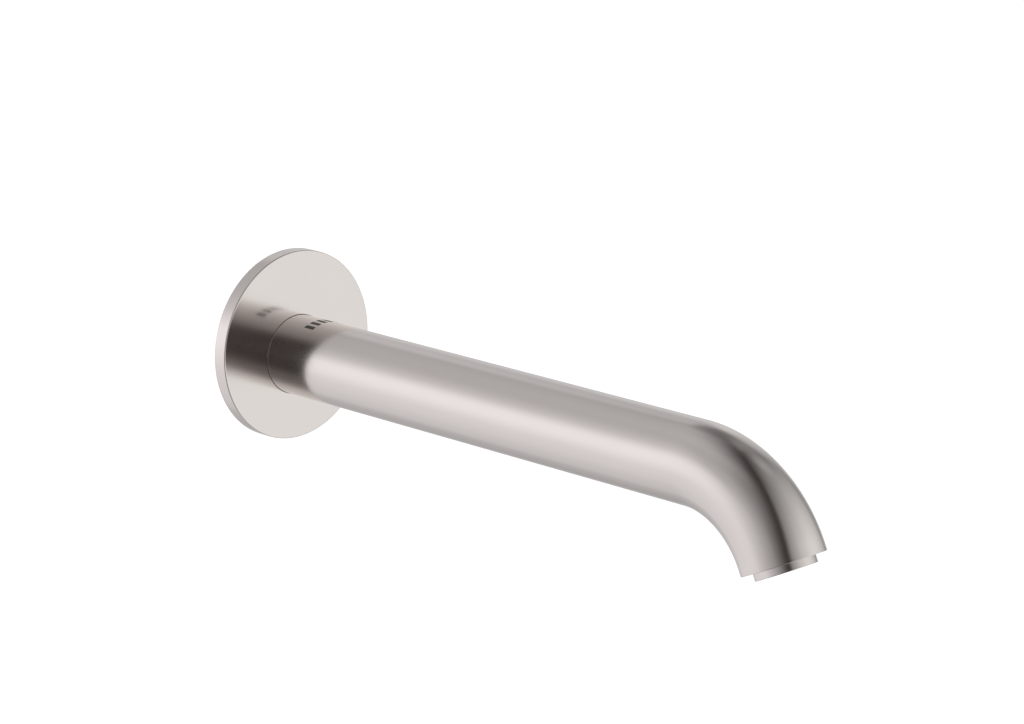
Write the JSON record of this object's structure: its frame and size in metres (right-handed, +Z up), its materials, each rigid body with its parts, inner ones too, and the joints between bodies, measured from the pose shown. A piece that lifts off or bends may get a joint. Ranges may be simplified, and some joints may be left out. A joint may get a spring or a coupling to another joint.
{
  "type": "wall mounted bath spout",
  "caption": "Round bent bath spout in brushed nickel on a round wall escutcheon, with a threaded wall adapter and a screw-in aerator.",
  "frame": {"origin": "on the tube's axis in the plane of the finished wall", "axes": "-Y points out of the wall along the tube, +Z is up, +X is to the right of someone facing the wall"},
  "size_m": [0.07, 0.2718, 0.0712],
  "materials": {
    "brushed_nickel": "fine brushed, satin gloss",
    "brass": "turned",
    "stainless_steel": "plain",
    "black_rubber": "matt",
    "white_plastic": "moulded",
    "grey_foam": "closed-cell foam",
    "fibre_seal": "fibre"
  },
  "bodies": {
    "spout": {"wall_adapter": "brass", "adapter_flat_seal": "fibre_seal", "adapter_o_ring_rear": "black_rubber", "adapter_o_ring_front": "black_rubber", "spout_tube": "brushed_nickel", "spout_base_bush": "brass", "outlet_bush": "brass"},
    "escutcheon_set": {"escutcheon": "brushed_nickel", "escutcheon_carrier": "white_plastic", "escutcheon_o_ring": "black_rubber", "escutcheon_wall_gasket": "grey_foam"},
    "locking_screw": {"grub_screw": "stainless_steel"},
    "aerator_insert": {"aerator_cartridge": "white_plastic", "aerator_seal": "black_rubber", "aerator_strainer": "white_plastic", "flow_regulator_seat": "white_plastic", "flow_regulator_ring": "black_rubber", "aerator_jet_plate": "white_plastic", "aerator_grid_upper": "stainless_steel", "aerator_grid_lower": "stainless_steel", "aerator_honeycomb": "white_plastic"},
    "aerator_ring": {"aerator_housing": "brushed_nickel"}
  },
  "joints": [
    {"name": "escutcheon_slide", "type": "slide", "parent": "spout", "child": "escutcheon_set", "axis": [0, -1, 0], "range_m": [0, 0.19]},
    {"name": "grub_screw_travel", "type": "slide", "parent": "spout", "child": "locking_screw", "axis": [0, 0, -1], "range_m": [0, 0.0012]},
    {"name": "aerator_advance", "type": "slide", "parent": "spout", "child": "aerator_insert", "axis": [0, -0.4305, -0.9026], "range_m": [0, 0.0028]},
    {"name": "aerator_turn", "type": "hinge", "parent": "aerator_insert", "child": "aerator_ring", "pos_m": [0, -0.24061, -0.02581], "axis": [0, -0.4305, -0.9026], "range_deg": [0, 990]}
  ],
  "couplings": [
    {"joint": "aerator_advance", "follows": "aerator_turn", "m_per_rad": 0.00015915}
  ]
}
